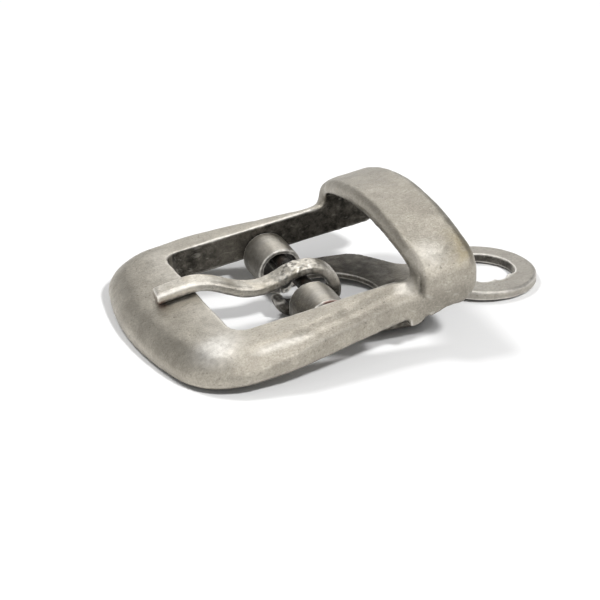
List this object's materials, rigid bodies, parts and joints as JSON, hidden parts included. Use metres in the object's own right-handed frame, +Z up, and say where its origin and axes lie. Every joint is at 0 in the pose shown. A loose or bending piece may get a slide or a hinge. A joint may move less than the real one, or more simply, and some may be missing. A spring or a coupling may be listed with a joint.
{
  "type": "strap buckle",
  "caption": "Belt or strap buckle: cast bowed frame with a raised keeper bridge, a looped tongue and a pivoting eyed chape plate, all resting on a table.",
  "frame": {"origin": "middle of the bounding box, on the table top that the buckle rests on", "axes": "+X from the bow towards the eye of the chape plate, +Y along the bar to the far rail, +Z up from the table"},
  "size_m": [0.0592, 0.0394, 0.0159],
  "materials": {
    "cast_silver": "matte tumbled antique silver plate",
    "dark_bar": "dull oxidised",
    "tongue_silver": "worn antique silver plate",
    "chape_silver": "dull antique silver plate"
  },
  "bodies": {
    "frame": {"buckle_frame": "cast_silver", "hinge_bar": "dark_bar"},
    "tongue": {"tongue": "tongue_silver"},
    "chape": {"chape_plate": "chape_silver"}
  },
  "joints": [
    {"name": "tongue_hinge", "type": "hinge", "parent": "frame", "child": "tongue", "pos_m": [-0.00528, 0, 0.00475], "axis": [0, 1, 0], "range_deg": [0, 112]},
    {"name": "chape_hinge", "type": "hinge", "parent": "frame", "child": "chape", "pos_m": [-0.00528, 0, 0.00475], "axis": [0, 1, 0], "range_deg": [-20, 140]}
  ]
}
